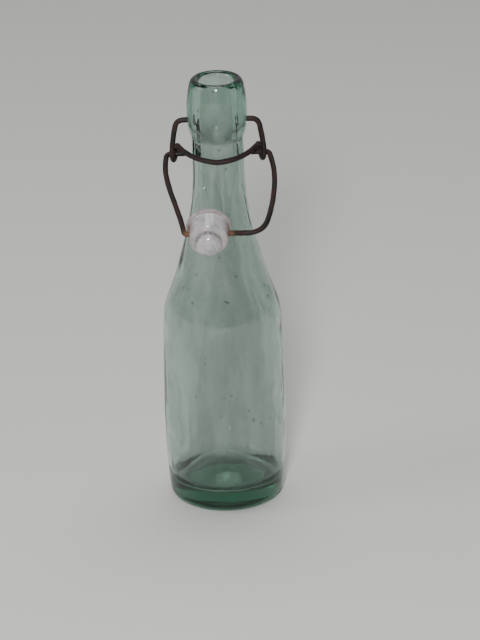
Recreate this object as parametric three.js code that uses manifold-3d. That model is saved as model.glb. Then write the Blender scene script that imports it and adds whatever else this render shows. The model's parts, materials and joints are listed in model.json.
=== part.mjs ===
// A swing-top bottle: a pale green glass bottle whose rusted wire closure hangs open.
//
// The lever is one wire. Its ends sit in two dimples in the lip, its arms run down to a coiled
// eye on each side, and its yoke passes in front of the neck. The bail's ends sit in both eyes and it
// carries the porcelain stopper, which has a rubber gasket round its nose.
// Millimetres, +Z up, origin at the middle of the underside, front of the bottle towards -Y.

import * as THREE from 'three';
import { mergeVertices } from 'three/addons/utils/BufferGeometryUtils.js';
import Module from 'manifold-3d';

// Clearances
const SEAT_GAP = 0.3;
const RUNNING_GAP = 0.35;
const REST_GAP = 0.4;

// Bottle, outside
const BOTTLE_HEIGHT = 245;
const HEEL_RADIUS = 5.7;
const BODY_FOOT_RADIUS = 31.6;
const BODY_RADIUS = 33.6;
const BODY_WIDEST_HEIGHT = 45;
const SHOULDER_RADIUS = 32.4;
const SHOULDER_HEIGHT = 106;
const SHOULDER_TURN = 13;
const SHOULDER_LEAN = 0.7;
const SLOPE_RADIUS = 24.3;
const SLOPE_HEIGHT = 135;
const SLOPE_LEAN = 0.27;
const NECK_RADIUS = 14;
const NECK_FLARE = 0.2;
const NECK_FOOT_HEIGHT = 191.5;
const LIP_LENGTH = 35;
const LIP_RADIUS = 16.3;
const LIP_WIDEST_DEPTH = 21;
const RIM_RADIUS = 14.7;
const RIM_DEPTH = 3.3;

// Bottle, inside
const MOUTH_RADIUS = 9.2;
const MOUTH_DEPTH = 4.5;
const NECK_WALL = 4.2;
const BODY_WALL = 3.5;
const FLOOR_THICKNESS = 10.5;
const FLOOR_MOUND = 7;
const INNER_HEEL_RADIUS = 9;

// Lever
const WIRE_DIAMETER = 2.9;
const PIVOT_DEPTH = 23.5;
const DIMPLE_DEPTH = 3;
const LEVER_CORNER = 22;
const LEVER_HALF_WIDTH = 24.8;
const LEVER_BEND = 4;
const EYE_DROP = 20.2;
const EYE_RADIUS = 3.9;
const YOKE_DROP = 2.5;
const YOKE_SPREAD = 14;

// Bail
const BAIL_PIN_END = 17;
const BAIL_BEND_RADIUS = 2.4;
const BAIL_LEFT_BOW = 2.6;
const BAIL_LEFT_PULL = 3;
const BAIL_LEFT_BEND = 1.6;
const BAIL_RIGHT_BOW = 4.4;
const BAIL_RIGHT_PULL = -0.5;
const BAIL_RIGHT_ELBOW = 23.5;
const BAIL_RIGHT_BEND = 8.8;

// Stopper
const STOPPER_RADIUS = 11.5;
const STOPPER_OFFSET = -6;
const STOPPER_DIP = 15;
const FLANGE_DEPTH = 3.9;
const FLANGE_RIM = 1.2;
const BARREL_RADIUS = 10.4;
const BARREL_FRONT = 4.4;
const BODY_FRONT = 7.2;
const BODY_EDGE = 1;
const KNOB_RADIUS = 6.6;
const KNOB_WAIST_RADIUS = 6.2;
const KNOB_FRONT = 14;
const KNOB_DOME = 3.2;
const NOSE_RADIUS = 7.2;
const NOSE_TAPER_RADIUS = 6.2;
const NOSE_TIP_RADIUS = 2.4;
const NOSE_LENGTH = 16.3;
const GASKET_RADIUS = 12;
const GASKET_THICKNESS = 2.7;
const GASKET_ROUND = 0.8;
const GASKET_SQUEEZE = 1;

// Facets
const BOTTLE_SIDES = 40;
const STOPPER_SIDES = 32;
const WIRE_SIDES = 8;
const WIRE_STEP = 1.3;
const CURVE_STEPS = 4;

// Sizes that follow from those above
const WIRE_RADIUS = WIRE_DIAMETER / 2;
const WIRE_PITCH = WIRE_DIAMETER + RUNNING_GAP;
const LIP_FOOT = BOTTLE_HEIGHT - LIP_LENGTH;
const LIP_WIDEST = BOTTLE_HEIGHT - LIP_WIDEST_DEPTH;
const RIM_EDGE = BOTTLE_HEIGHT - RIM_DEPTH;
const RIM_TOP_RADIUS = (RIM_RADIUS + MOUTH_RADIUS) / 2;
const SLOPE_RISE = (NECK_FOOT_HEIGHT - SLOPE_HEIGHT) / 4;
const SLOPE_IN = SLOPE_RISE * SLOPE_LEAN;
const NECK_TURN_HEIGHT = NECK_FOOT_HEIGHT - SLOPE_RISE * 1.5;
const BODY_MIDDLE = (BODY_WIDEST_HEIGHT + SHOULDER_HEIGHT) / 2;
const PIVOT_Z = BOTTLE_HEIGHT - PIVOT_DEPTH;
const DIMPLE_X = LIP_RADIUS - DIMPLE_DEPTH;
const EYE_Y = EYE_RADIUS;
const EYE_Z = PIVOT_Z - EYE_DROP;
const EYE_TURN = 270;
const PIN_Z = EYE_Z - EYE_RADIUS + WIRE_PITCH;
const YOKE_X = LEVER_HALF_WIDTH - WIRE_PITCH;
const YOKE_Y = -(NECK_RADIUS + RUNNING_GAP + WIRE_RADIUS);
const BAIL_EYE_X = LEVER_HALF_WIDTH + WIRE_PITCH;
const BAIL_LEFT_ELBOW = STOPPER_RADIUS - STOPPER_OFFSET + WIRE_RADIUS;
const GASKET_FRONT = -(FLANGE_DEPTH + SEAT_GAP);
const GASKET_BACK = GASKET_FRONT - GASKET_THICKNESS;
const NOSE_BACK = -(FLANGE_DEPTH + NOSE_LENGTH);
const HOLE_RADIUS = WIRE_RADIUS + SEAT_GAP;
const CLOSED_HOLE_Z = BOTTLE_HEIGHT - GASKET_SQUEEZE - GASKET_BACK;
const BAIL_LENGTH = Math.hypot(CLOSED_HOLE_Z - PIN_Z, EYE_Y);
const STOPPER_REACH = Math.max(-NOSE_BACK, Math.hypot(GASKET_RADIUS, GASKET_BACK));

const wasm = await Module();
wasm.setup();

const point = (x, y, z) => new THREE.Vector3(x, y, z);
const flat = (x, y) => new THREE.Vector2(x, y);

// A closed geometry as a solid that can be joined and cut.
function solid(geometry) {
  const bare = geometry.clone();
  bare.deleteAttribute('normal');
  bare.deleteAttribute('uv');
  const merged = mergeVertices(bare, 1e-4);
  const vertProperties = new Float32Array(merged.attributes.position.array);
  const triVerts = new Uint32Array(merged.index.array);
  return new wasm.Manifold(new wasm.Mesh({ numProp: 3, vertProperties, triVerts }));
}

// A solid back as a geometry.
function geometryOf(body) {
  const mesh = body.getMesh();
  const geometry = new THREE.BufferGeometry();
  geometry.setAttribute('position', new THREE.BufferAttribute(new Float32Array(mesh.vertProperties), 3));
  geometry.setIndex(new THREE.BufferAttribute(new Uint32Array(mesh.triVerts), 1));
  geometry.computeVertexNormals();
  return geometry;
}

// A profile of radius and height turned about Z.
function turned(profile, sides) {
  const spin = new THREE.LatheGeometry(profile, sides);
  return spin.rotateX(Math.PI / 2);
}

// A round pin along X between two places.
function pinAlongX(radius, from, to) {
  const pin = new THREE.CylinderGeometry(radius, radius, to - from, 2 * WIRE_SIDES);
  return pin.rotateZ(Math.PI / 2).translate((from + to) / 2, 0, 0);
}

// A wire of even thickness through the points given.
function wire(points) {
  const path = new THREE.CatmullRomCurve3(points, false, 'centripetal');
  const section = new THREE.Shape().absarc(0, 0, WIRE_RADIUS, 0, 2 * Math.PI);
  const steps = Math.round(path.getLength() / WIRE_STEP);
  return new THREE.ExtrudeGeometry(section, { steps, extrudePath: path, curveSegments: WIRE_SIDES / 2 });
}

// The same place on the other side.
const mirrored = (p) => point(-p.x, p.y, p.z);

// A place a given distance from one point towards another.
function towards(from, to, distance) {
  const step = to.clone().sub(from).setLength(distance);
  return from.clone().add(step);
}

// Places along an arc, from and to in degrees, both ends counted.
function arc(from, to, steps, place) {
  return Array.from({ length: steps + 1 }, (_, i) => {
    return place(THREE.MathUtils.degToRad(from + ((to - from) * i) / steps));
  });
}

// Outside of the bottle from the underside's middle to the top of the rim.
function outerProfile() {
  const foot = BODY_FOOT_RADIUS - HEEL_RADIUS;
  const outline = new THREE.Path();
  outline.moveTo(0, 0);
  outline.lineTo(foot, 0);
  outline.absarc(foot, HEEL_RADIUS, HEEL_RADIUS, -Math.PI / 2, 0, false);
  outline.quadraticCurveTo(
    BODY_RADIUS, (HEEL_RADIUS + BODY_WIDEST_HEIGHT) / 2, BODY_RADIUS, BODY_WIDEST_HEIGHT);
  outline.quadraticCurveTo(BODY_RADIUS, BODY_MIDDLE, SHOULDER_RADIUS, SHOULDER_HEIGHT);
  outline.bezierCurveTo(
    SHOULDER_RADIUS - SHOULDER_LEAN, SHOULDER_HEIGHT + SHOULDER_TURN,
    SLOPE_RADIUS + SLOPE_IN, SLOPE_HEIGHT - SLOPE_RISE,
    SLOPE_RADIUS, SLOPE_HEIGHT);
  outline.bezierCurveTo(
    SLOPE_RADIUS - SLOPE_IN, SLOPE_HEIGHT + SLOPE_RISE,
    NECK_RADIUS + NECK_FLARE, NECK_TURN_HEIGHT,
    NECK_RADIUS, NECK_FOOT_HEIGHT);
  outline.lineTo(NECK_RADIUS, LIP_FOOT);
  outline.bezierCurveTo(
    NECK_RADIUS, LIP_FOOT + LIP_LENGTH / 9,
    LIP_RADIUS, LIP_WIDEST - LIP_LENGTH / 4,
    LIP_RADIUS, LIP_WIDEST);
  outline.quadraticCurveTo(LIP_RADIUS, (LIP_WIDEST + RIM_EDGE) / 2, RIM_RADIUS, RIM_EDGE);
  outline.quadraticCurveTo(RIM_RADIUS - RIM_DEPTH / 4, BOTTLE_HEIGHT, RIM_TOP_RADIUS, BOTTLE_HEIGHT);
  return outline.getPoints(CURVE_STEPS);
}

// Inside of the bottle from the top of the rim down to the middle of the floor.
function innerProfile() {
  const neckBore = NECK_RADIUS - NECK_WALL;
  const bodyBore = BODY_RADIUS - BODY_WALL;
  const shoulderBore = SHOULDER_RADIUS - BODY_WALL;
  const slopeBore = SLOPE_RADIUS - BODY_WALL;
  const floorRadius = bodyBore - INNER_HEEL_RADIUS;
  const floorMiddle = FLOOR_THICKNESS + FLOOR_MOUND;
  const outline = new THREE.Path();
  outline.moveTo(RIM_TOP_RADIUS, BOTTLE_HEIGHT);
  outline.quadraticCurveTo(MOUTH_RADIUS, BOTTLE_HEIGHT, MOUTH_RADIUS, BOTTLE_HEIGHT - MOUTH_DEPTH);
  outline.lineTo(neckBore, LIP_FOOT);
  outline.lineTo(neckBore, NECK_FOOT_HEIGHT);
  outline.bezierCurveTo(
    neckBore + NECK_FLARE, NECK_TURN_HEIGHT,
    slopeBore - SLOPE_IN, SLOPE_HEIGHT + SLOPE_RISE,
    slopeBore, SLOPE_HEIGHT);
  outline.bezierCurveTo(
    slopeBore + SLOPE_IN, SLOPE_HEIGHT - SLOPE_RISE,
    shoulderBore - SHOULDER_LEAN, SHOULDER_HEIGHT + SHOULDER_TURN,
    shoulderBore, SHOULDER_HEIGHT);
  outline.quadraticCurveTo(bodyBore, BODY_MIDDLE, bodyBore, BODY_WIDEST_HEIGHT);
  outline.lineTo(bodyBore, FLOOR_THICKNESS + INNER_HEEL_RADIUS);
  outline.quadraticCurveTo(bodyBore, FLOOR_THICKNESS, floorRadius, FLOOR_THICKNESS);
  outline.quadraticCurveTo(floorRadius / 2, floorMiddle, 0, floorMiddle);
  return outline.getPoints(CURVE_STEPS);
}

const glassOutline = outerProfile();

// Glass bottle with a dimple in each side of the lip.
function bottleGlass() {
  const profile = [...glassOutline, ...innerProfile().slice(1)];
  let body = solid(turned(profile, BOTTLE_SIDES));
  const outside = LIP_RADIUS + WIRE_DIAMETER;
  for (const side of [-1, 1]) {
    const ends = [side * DIMPLE_X, side * outside].sort((a, b) => a - b);
    const dimple = pinAlongX(WIRE_RADIUS + SEAT_GAP, ...ends).translate(0, 0, PIVOT_Z);
    body = body.subtract(solid(dimple));
  }
  return geometryOf(body);
}

// Lever: pivot end, slanting arm, eye coiled under, behind and over, then half of the yoke.
function leverWire() {
  const corner = flat(LEVER_CORNER, PIVOT_Z);
  const armFoot = flat(LEVER_HALF_WIDTH, EYE_Z);
  const armTurn = flat(LEVER_HALF_WIDTH, EYE_Z + 1.5 * EYE_RADIUS);
  const bendFrom = flat(LEVER_CORNER - LEVER_BEND, PIVOT_Z);
  const bendTo = towards(corner, armTurn, LEVER_BEND);
  const bend = new THREE.QuadraticBezierCurve(bendFrom, corner, bendTo).getPoints(4);
  const arm = new THREE.QuadraticBezierCurve(bendTo, armTurn, armFoot).getPoints(5);
  const upper = [...bend, ...arm.slice(1)].map((p) => point(p.x, 0, p.y));
  const eyeStep = WIRE_PITCH / THREE.MathUtils.degToRad(EYE_TURN);
  const eye = arc(0, EYE_TURN, 12, (a) => {
    return point(
      LEVER_HALF_WIDTH - eyeStep * a, EYE_Y - EYE_RADIUS * Math.cos(a), EYE_Z - EYE_RADIUS * Math.sin(a));
  });
  const yokeTop = EYE_Z + EYE_RADIUS;
  const yoke = new THREE.QuadraticBezierCurve3(
    point(YOKE_X, EYE_Y, yokeTop),
    point(YOKE_SPREAD, YOKE_Y, yokeTop - YOKE_DROP / 2),
    point(0, YOKE_Y, yokeTop - YOKE_DROP)).getPoints(8);
  const pivotEnd = point(DIMPLE_X + SEAT_GAP, 0, PIVOT_Z);
  const half = [pivotEnd, ...upper, ...eye.slice(1), ...yoke.slice(1)];
  return wire([...half.map(mirrored), ...half.slice(0, -1).reverse()]);
}

// Angle forward of straight down at which the bail, swinging in from level, brings the stopper
// to the neck.
function hangingAngle() {
  const gapAt = (angle) => {
    const hole = onBail(0, BAIL_LENGTH, angle);
    return Math.min(...glassOutline.map((p) => Math.hypot(hole.y + p.x, hole.z - p.y)));
  };
  const swing = THREE.MathUtils.degToRad(0.25);
  let angle = Math.PI / 2;
  while (angle > swing && gapAt(angle - swing) > STOPPER_REACH + REST_GAP) {
    angle -= swing;
  }
  return angle;
}

// A place in the bail's plane: sideways, and down its length from the eyes.
function onBail(x, along, angle) {
  return point(x, EYE_Y - along * Math.sin(angle), PIN_Z - along * Math.cos(angle));
}

// One side of the bail, drawn to the right: pin through the eye, arm that bows out and is pulled in
// lower down, and elbow.
function bailSide(bowOut, pullIn, elbowX, elbowBend, angle) {
  const bend = BAIL_BEND_RADIUS;
  const pinFrom = BAIL_EYE_X - bend;
  const pin = [flat(BAIL_PIN_END, 0), flat((BAIL_PIN_END + pinFrom) / 2, 0)];
  const corner = arc(90, 0, 3, (a) => flat(pinFrom + bend * Math.cos(a), bend - bend * Math.sin(a)));
  const armTop = flat(BAIL_EYE_X, bend);
  const bow = flat(BAIL_EYE_X + bowOut, BAIL_LENGTH / 3);
  const elbow = flat(elbowX, BAIL_LENGTH);
  const pull = bow.clone().lerp(elbow, 0.5).sub(flat(pullIn, 0));
  const elbowTop = towards(elbow, pull, elbowBend);
  const runEnd = flat(elbowX - elbowBend, BAIL_LENGTH);
  const arm = new THREE.CubicBezierCurve(armTop, bow, pull, elbowTop).getPoints(12);
  const turn = new THREE.QuadraticBezierCurve(elbowTop, elbow, runEnd).getPoints(4);
  const side = [...pin, ...corner, ...arm.slice(1), ...turn.slice(1)];
  return side.map((p) => onBail(p.x, p.y, angle));
}

// Bail: both sides and the run through the stopper between them.
function stopperBail(angle) {
  const left = bailSide(BAIL_LEFT_BOW, BAIL_LEFT_PULL, BAIL_LEFT_ELBOW, BAIL_LEFT_BEND, angle);
  const right = bailSide(BAIL_RIGHT_BOW, BAIL_RIGHT_PULL, BAIL_RIGHT_ELBOW, BAIL_RIGHT_BEND, angle);
  const runFrom = mirrored(left[left.length - 1]);
  const runTo = right[right.length - 1];
  const run = [1, 2, 3, 4].map((i) => runFrom.clone().lerp(runTo, i / 5));
  return wire([...left.map(mirrored), ...run, ...right.reverse()]);
}

// Stopper about its own axis: nose below, wire hole at height 0, knob on top.
function porcelainStopper() {
  const outline = new THREE.Path();
  outline.moveTo(0, NOSE_BACK);
  outline.bezierCurveTo(
    NOSE_TIP_RADIUS, NOSE_BACK,
    NOSE_TAPER_RADIUS, (NOSE_BACK + GASKET_BACK) / 2,
    NOSE_RADIUS, GASKET_BACK);
  outline.lineTo(NOSE_RADIUS, -FLANGE_DEPTH);
  outline.lineTo(STOPPER_RADIUS, -FLANGE_DEPTH);
  outline.lineTo(STOPPER_RADIUS, FLANGE_RIM - FLANGE_DEPTH);
  outline.lineTo(BARREL_RADIUS, BARREL_FRONT);
  outline.bezierCurveTo(
    BARREL_RADIUS, BODY_FRONT - BODY_EDGE,
    BARREL_RADIUS - BODY_EDGE, BODY_FRONT - BODY_EDGE / 2,
    KNOB_WAIST_RADIUS, BODY_FRONT);
  outline.lineTo(KNOB_RADIUS, KNOB_FRONT - KNOB_DOME);
  outline.bezierCurveTo(
    KNOB_RADIUS, KNOB_FRONT - KNOB_DOME / 2, KNOB_RADIUS / 2, KNOB_FRONT, 0, KNOB_FRONT);
  const body = solid(turned(outline.getPoints(CURVE_STEPS), STOPPER_SIDES));
  const hole = pinAlongX(HOLE_RADIUS, -2 * STOPPER_RADIUS, 2 * STOPPER_RADIUS);
  return geometryOf(body.subtract(solid(hole)));
}

// Gasket round the stopper's nose, against its flange.
function rubberGasket() {
  const inner = NOSE_RADIUS + SEAT_GAP;
  const edge = GASKET_RADIUS - GASKET_ROUND;
  const ring = new THREE.Path();
  ring.moveTo(inner, GASKET_BACK);
  ring.lineTo(edge, GASKET_BACK);
  ring.absarc(edge, GASKET_BACK + GASKET_ROUND, GASKET_ROUND, -Math.PI / 2, 0, false);
  ring.absarc(edge, GASKET_FRONT - GASKET_ROUND, GASKET_ROUND, 0, Math.PI / 2, false);
  ring.lineTo(inner, GASKET_FRONT);
  ring.lineTo(inner, GASKET_BACK);
  return turned(ring.getPoints(2), STOPPER_SIDES);
}

// A named piece with its own finish.
function piece(name, geometry, color, roughness, metalness) {
  const material = new THREE.MeshStandardMaterial({ color, roughness, metalness });
  const mesh = new THREE.Mesh(geometry, material);
  mesh.name = name;
  return mesh;
}

const hang = hangingAngle();
const stopper = new THREE.Group();
stopper.position.copy(onBail(STOPPER_OFFSET, BAIL_LENGTH, hang));
stopper.rotation.x = Math.PI / 2 + THREE.MathUtils.degToRad(STOPPER_DIP);
stopper.add(piece('porcelain_stopper', porcelainStopper(), 0xd9d3d2, 0.25, 0));
stopper.add(piece('rubber_gasket', rubberGasket(), 0x9a857c, 0.8, 0));

const bottle = new THREE.Group();
bottle.add(piece('bottle_glass', bottleGlass(), 0xa9c9ba, 0.06, 0));
bottle.add(piece('lever_wire', leverWire(), 0x3b2722, 0.75, 0.6));
bottle.add(piece('stopper_bail', stopperBail(hang), 0x3b2722, 0.75, 0.6));
bottle.add(stopper);

export default bottle;
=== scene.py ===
"""Swing-top bottle: pale green glass, a rusted wire closure hanging open and a porcelain stopper.

Each piece is a surface worked out on a grid of two parameters, in metres, in the packed frame:
+Z up, the foot's middle at the origin, the front of the bottle towards -Y.
"""

import json
import math

import bpy
import numpy as np
from bpy.props import FloatProperty, FloatVectorProperty, IntProperty, PointerProperty
from mathutils import Matrix, Vector


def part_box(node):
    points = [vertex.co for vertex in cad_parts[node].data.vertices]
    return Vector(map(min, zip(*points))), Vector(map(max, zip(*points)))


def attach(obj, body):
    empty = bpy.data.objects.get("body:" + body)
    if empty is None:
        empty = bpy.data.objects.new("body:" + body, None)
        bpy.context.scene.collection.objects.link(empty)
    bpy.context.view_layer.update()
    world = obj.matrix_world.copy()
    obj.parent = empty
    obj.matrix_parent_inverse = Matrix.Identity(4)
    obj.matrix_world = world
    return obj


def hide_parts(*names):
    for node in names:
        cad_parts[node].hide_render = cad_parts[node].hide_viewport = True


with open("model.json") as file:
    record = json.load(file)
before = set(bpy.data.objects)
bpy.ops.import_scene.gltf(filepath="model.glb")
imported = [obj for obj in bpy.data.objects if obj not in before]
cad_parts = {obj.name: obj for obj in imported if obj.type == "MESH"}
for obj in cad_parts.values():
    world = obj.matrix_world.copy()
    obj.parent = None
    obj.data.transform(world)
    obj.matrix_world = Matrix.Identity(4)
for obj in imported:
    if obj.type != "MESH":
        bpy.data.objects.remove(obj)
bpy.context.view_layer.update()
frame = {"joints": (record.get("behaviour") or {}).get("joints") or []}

bl_info = {
    "name": "Swing-top bottle",
    "version": (1, 0, 0),
    "blender": (4, 5, 0),
    "location": "View3D > Sidebar > Bottle",
    "description": "Builds an old swing-top bottle with its wire closure and porcelain stopper",
    "category": "Add Mesh",
}

# What the packed frame says
JOINTS = {joint["name"]: np.array(joint["pos_m"]) for joint in frame["joints"]}
PIVOT = JOINTS["lever_pivot"]
PIN = JOINTS["bail_swing"]
HOLE = JOINTS["stopper_turn"]
GLASS_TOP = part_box("bottle_glass")[1]
LEVER_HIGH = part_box("lever_wire")[1]
BAIL_LENGTH = math.hypot(PIN[1] - HOLE[1], PIN[2] - HOLE[2])
BAIL_ANGLE = math.atan2(PIN[1] - HOLE[1], PIN[2] - HOLE[2])

# The photograph is 480 by 640 pixels, and the camera's sensor spans its longer side
PHOTO_HEIGHT = 640

TURN = 2.0 * math.pi

# Handles of a cubic curve close to a quarter of a circle, as a share of its radius
CIRCLE_HANDLE = 0.5523

# The glass has no waves near its axis, in shares of the body's radius, and by the rim, in metres
CALM_MIDDLE = (0.0, 0.25)
CALM_RIM = (0.0, 0.012)

# Full depth and edge of a dimple in the lip, in wire radii from the pivot
DIMPLE_REACH = (1.3, 2.0)

# Rings of a wire's surface along one radius of the wire
RINGS_PER_RADIUS = 3.0

# Metres from full to no fresh rust where the stopper's sides rub the bail
RUBBED_REACH = (0.0012, 0.0036)

# Unevenness of the porcelain and of the rubber, as shares of their radius
PORCELAIN_UNEVEN = 0.006
GASKET_UNEVEN = 0.012

# Rust stains start this far towards the stopper's sides and reach this far from the hole's mouths,
# in shares of its radius; on the way down only a part of the distance counts
STAINED_SIDES = (0.45, 0.75)
STAINED_MOUTH = (0.24, 0.78)
STAIN_FALL = 0.45

# Strength of the painted shade in the groove at the knob's foot, and metres from full to none
CREASE_SHADE = 0.9
CREASE_REACH = (0.0005, 0.0017)

# First seed of each relief
OUTSIDE_SEED, INSIDE_SEED, STREAK_SEED = 11, 21, 23
PORCELAIN_SEED, GASKET_SEED = 31, 41
LEVER_SEED, BAIL_SEED = 51, 61

# Colour sockets of a mix node, which share their names with its other sockets
MIX_FIRST, MIX_SECOND, MIX_RESULT = 6, 7, 2

# Inputs of the weathering group and their plain values
WEATHERING = {"Patch Scale": 200.0, "Grain Scale": 1500.0, "Low": 0.45, "High": 0.6}

# The floor's cells along each side, and how bright its darker places are
FLOOR_CELLS = 8
FLOOR_SHADE = 0.97

# Soft lights, whose names start the names of their settings
LIGHTS = ("key", "top", "side")


# Settings

def length(name, description, default):
    """A size in metres."""
    return FloatProperty(name=name, description=description, default=default, min=0.0,
                         unit="LENGTH", precision=5)


def point(name, description, default):
    """A place, in metres."""
    return FloatVectorProperty(name=name, description=description, default=default, size=3,
                               subtype="TRANSLATION", unit="LENGTH")


def tilt(name, description, degrees):
    """An angle, given in degrees."""
    return FloatProperty(name=name, description=description, default=math.radians(degrees),
                         subtype="ANGLE")


def plain(name, description, default):
    """A number without a unit."""
    return FloatProperty(name=name, description=description, default=default, min=0.0)


def watts(name, description, default):
    """A light's power."""
    return FloatProperty(name=name, description=description, default=default, min=0.0,
                         unit="POWER")


def rounds(name, description, default):
    """How many steps a surface takes in one turn."""
    return IntProperty(name=name, description=description, default=default, min=8)


def share(name, description, default):
    """A number from 0 to 1."""
    return FloatProperty(name=name, description=description, default=default, min=0.0, max=1.0,
                         subtype="FACTOR")


def tint(name, description, default):
    """A colour, in linear light."""
    return FloatVectorProperty(name=name, description=description, default=default, min=0.0,
                               max=1.0, size=3, subtype="COLOR")


class GlassSettings(bpy.types.PropertyGroup):
    """Sizes and colours of the glass."""
    height: length("Height", "Foot to rim", GLASS_TOP.z)
    body_radius: length("Body radius", "At the widest place", GLASS_TOP.x)
    body_widest: length("Widest height", "Height of the widest place", 0.045)
    foot_radius: length("Foot radius", "Body radius just above the heel", 0.0316)
    heel: length("Heel", "Rounding between foot and body", 0.0057)
    push_up: length("Push-up", "Hollow under the foot", 0.0012)
    shoulder_radius: length("Shoulder radius", "Where the body starts to draw in", 0.0324)
    shoulder_height: length("Shoulder height", "Where the body starts to draw in", 0.106)
    slope_radius: length("Slope radius", "Middle of the shoulder's slope", 0.0243)
    slope_height: length("Slope height", "Middle of the shoulder's slope", 0.135)
    neck_radius: length("Neck radius", "Straight part of the neck", 0.014)
    neck_foot: length("Neck foot", "Height where the neck turns straight", 0.1915)
    lip_length: length("Lip length", "Neck to rim", 0.035)
    lip_radius: length("Lip radius", "At the lip's swelling", 0.0163)
    lip_swell: length("Lip swelling", "Depth of the swelling below the rim", 0.021)
    rim_radius: length("Rim radius", "Outer edge of the rim", 0.0147)
    rim_depth: length("Rim depth", "Rounding of the rim", 0.0033)
    mouth_radius: length("Mouth radius", "Bore at the mouth", 0.0092)
    mouth_depth: length("Mouth depth", "Rounding of the rim inside", 0.0045)
    neck_wall: length("Neck wall", "Glass in the neck", 0.0042)
    body_wall: length("Body wall", "Glass in the body", 0.0035)
    floor: length("Floor", "Glass under the inside", 0.0105)
    mound: length("Mound", "Rise in the middle of the floor", 0.007)
    inner_heel: length("Inner heel", "Rounding inside at the floor", 0.009)
    dimple_depth: length("Dimple depth", "Seat of the lever in the lip", 0.003)
    ripple: length("Ripple", "Waviness of the outside", 0.00018)
    inner_ripple: length("Inner ripple", "Waviness of the inside", 0.0006)
    streak: length("Streak", "Upright streaks inside", 0.00026)
    sides: rounds("Sides", "Steps round the bottle", 192)
    surface_tint: tint("Surface tint", "Tint of light through clean glass", (0.80, 0.83, 0.815))
    haze_tint: tint("Haze tint", "Tint of light through stained glass", (0.64, 0.685, 0.655))
    body_tint: tint("Body tint", "What a thick piece lets through", (0.27, 0.625, 0.48))
    density: plain("Density", "Absorption per metre", 64.0)
    ior: plain("Refraction", "Index of refraction", 1.5)


class WireSettings(bpy.types.PropertyGroup):
    """Sizes and colours of the lever and the bail."""
    radius: length("Wire radius", "Half the wire's thickness", 0.00145)
    gap: length("Running gap", "Clearance between turns of wire", 0.00035)
    seat_gap: length("Seat gap", "Clearance of the lever in its dimple", 0.0003)
    lever_corner: length("Lever corner", "Half the width between the lever's corners", 0.022)
    lever_bend: length("Lever bend", "How far from each corner the lever bends", 0.004)
    eye_radius: length("Eye radius", "Middle of the wire in the lever's eyes", 0.0039)
    yoke_drop: length("Yoke drop", "Fall of the yoke towards the front", 0.0025)
    yoke_spread: length("Yoke spread", "How far out the front of the yoke turns", 0.014)
    pin_end: length("Pin end", "Middle of the bottle to the ends of the bail", 0.017)
    bail_bend: length("Bail bend", "Radius of the bail's bends at the eyes", 0.0024)
    left_bow: length("Left bow", "How far the bail's left arm bows out", 0.0026)
    left_pull: length("Left pull", "How far the left arm is pulled in lower down", 0.003)
    left_bend: length("Left elbow bend", "How far from the left elbow the bail bends", 0.0016)
    right_bow: length("Right bow", "How far the bail's right arm bows out", 0.0044)
    right_push: length("Right push", "How far the right arm is pushed out lower down", 0.0005)
    right_elbow: length("Right elbow", "Middle of the bottle to the right elbow", 0.0235)
    right_bend: length("Right elbow bend", "How far from the right elbow the bail bends", 0.0088)
    pitting: share("Pitting", "Depth of the rust relief, as a share of the radius", 0.09)
    sides: rounds("Sides", "Steps round the wire", 28)
    dark: tint("Old rust", "Dark crust", (0.0065, 0.0042, 0.0042))
    brown: tint("Brown rust", "Worn crust", (0.030, 0.0125, 0.010))
    orange: tint("Fresh rust", "Fresh rust in pits and by the stopper", (0.13, 0.056, 0.025))


class StopperSettings(bpy.types.PropertyGroup):
    """Sizes and colours of the stopper and its gasket."""
    radius: length("Radius", "Widest part of the porcelain", 0.0115)
    dip: tilt("Dip", "Knob below level", 15.0)
    flange: length("Flange", "Wire hole to the gasket's seat", 0.0039)
    flange_rim: length("Flange rim", "Straight side of the flange", 0.0012)
    barrel_radius: length("Barrel radius", "Front end of the tapering side", 0.0104)
    barrel: length("Barrel", "Wire hole to the front end of the tapering side", 0.0044)
    shoulder: length("Shoulder", "Wire hole to the knob's foot", 0.0072)
    shoulder_edge: length("Shoulder edge", "Rounding of the front edge", 0.001)
    knob_radius: length("Knob radius", "Widest part of the knob", 0.0066)
    knob_waist: length("Knob waist", "Crease at the knob's foot", 0.0062)
    knob_front: length("Knob front", "Wire hole to the tip of the knob", 0.014)
    knob_dome: length("Knob dome", "Depth of the knob's domed front", 0.0032)
    nose_radius: length("Nose radius", "Nose under the gasket", 0.0072)
    nose_taper: length("Nose taper", "Nose half way to its end", 0.0062)
    nose_tip: length("Nose tip", "Blunt end of the nose", 0.0024)
    nose_length: length("Nose length", "Gasket's seat to the end of the nose", 0.0163)
    hole_gap: length("Hole gap", "Clearance of the wire in its hole", 0.0003)
    gasket_radius: length("Gasket radius", "Outside of the rubber ring", 0.012)
    gasket_thickness: length("Gasket thickness", "Relaxed rubber", 0.0027)
    gasket_round: length("Gasket rounding", "Worn edge of the rubber", 0.0008)
    sides: rounds("Sides", "Steps round the stopper", 128)
    hole_sides: rounds("Hole sides", "Steps round the wire's hole", 48)
    glaze: tint("Glaze", "White porcelain", (0.44, 0.419, 0.432))
    shade: tint("Shade", "Greyer places in the glaze", (0.27, 0.268, 0.29))
    speck: tint("Specks", "Iron specks in the glaze", (0.10, 0.055, 0.04))
    # Painted shade: a grey-brown darkening of the groove round the knob's foot, standing in for
    # shade there
    crease_shade: tint("Shaded_crease", "Painted_shade in the crease round the knob", (0.13, 0.105, 0.10))
    blush: tint("Blush", "Faint pink stain", (0.42, 0.33, 0.325))
    stain: tint("Stain", "Rust run from the wire", (0.15, 0.062, 0.028))
    rubber: tint("Rubber", "Aged gasket", (0.26, 0.215, 0.215))
    bloom: tint("Bloom", "Dry surface of the rubber", (0.38, 0.335, 0.34))


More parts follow.
